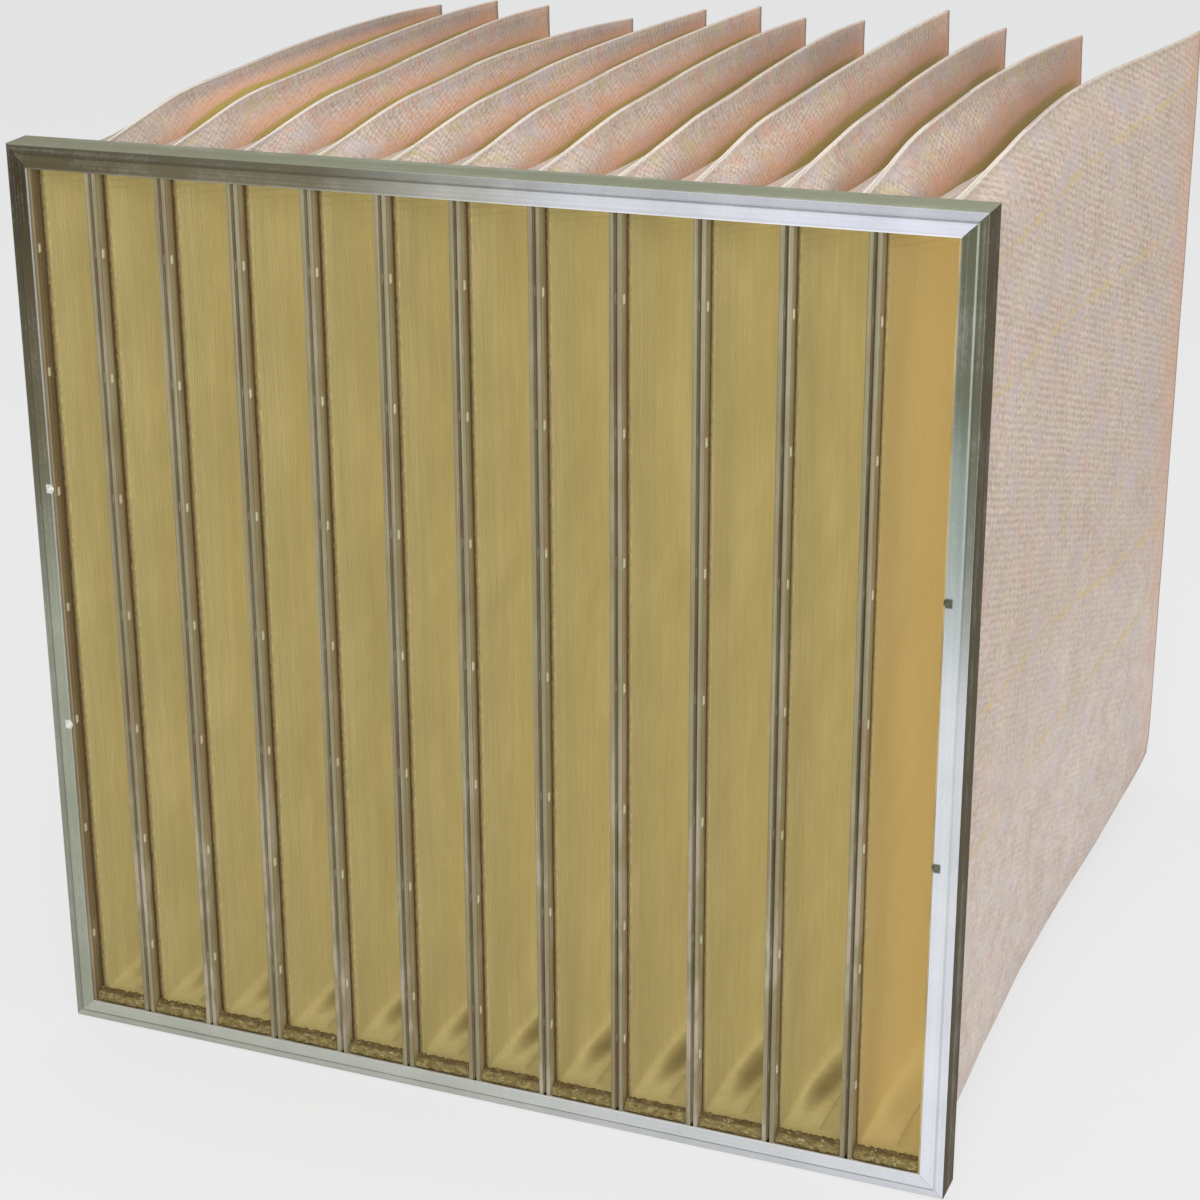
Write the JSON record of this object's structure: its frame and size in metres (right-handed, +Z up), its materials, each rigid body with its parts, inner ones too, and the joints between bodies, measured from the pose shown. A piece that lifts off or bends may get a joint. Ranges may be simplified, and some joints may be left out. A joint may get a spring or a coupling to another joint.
{
  "type": "bag air filter",
  "caption": "Bag air filter: a square galvanised header holds a row of deep glass-fibre pockets, open at the front, pinched to an edge at the back and clamped by steel channels.",
  "frame": {"origin": "middle of the header's lower face, on which the filter stands", "axes": "+Y from the open inlet face towards the pocket tips, +Z up along the pockets' height, +X to the right seen from the inlet"},
  "size_m": [0.5927, 0.6364, 0.592],
  "materials": {
    "header": "galvanised, dull, with brighter streaks",
    "channel": "galvanised, dull",
    "media": "glass-fibre mat, pinkish beige scrim outside and olive yellow inside"
  },
  "bodies": {
    "root": {"header_rail_top": "header", "header_rail_left": "header", "header_rail_bottom": "header", "header_rail_right": "header", "channel_01_left": "channel", "channel_01_right": "channel", "channel_02_left": "channel", "channel_02_right": "channel", "channel_03_left": "channel", "channel_03_right": "channel", "channel_04_left": "channel", "channel_04_right": "channel", "channel_05_left": "channel", "channel_05_right": "channel", "channel_06_left": "channel", "channel_06_right": "channel", "channel_07_left": "channel", "channel_07_right": "channel", "channel_08_left": "channel", "channel_08_right": "channel", "channel_09_left": "channel", "channel_09_right": "channel", "channel_10_left": "channel", "channel_10_right": "channel", "channel_11_left": "channel", "channel_11_right": "channel", "channel_12_left": "channel", "channel_12_right": "channel", "pocket_01": "media", "pocket_02": "media", "pocket_03": "media", "pocket_04": "media", "pocket_05": "media", "pocket_06": "media", "pocket_07": "media", "pocket_08": "media", "pocket_09": "media", "pocket_10": "media", "pocket_11": "media", "pocket_12": "media"}
  },
  "joints": []
}
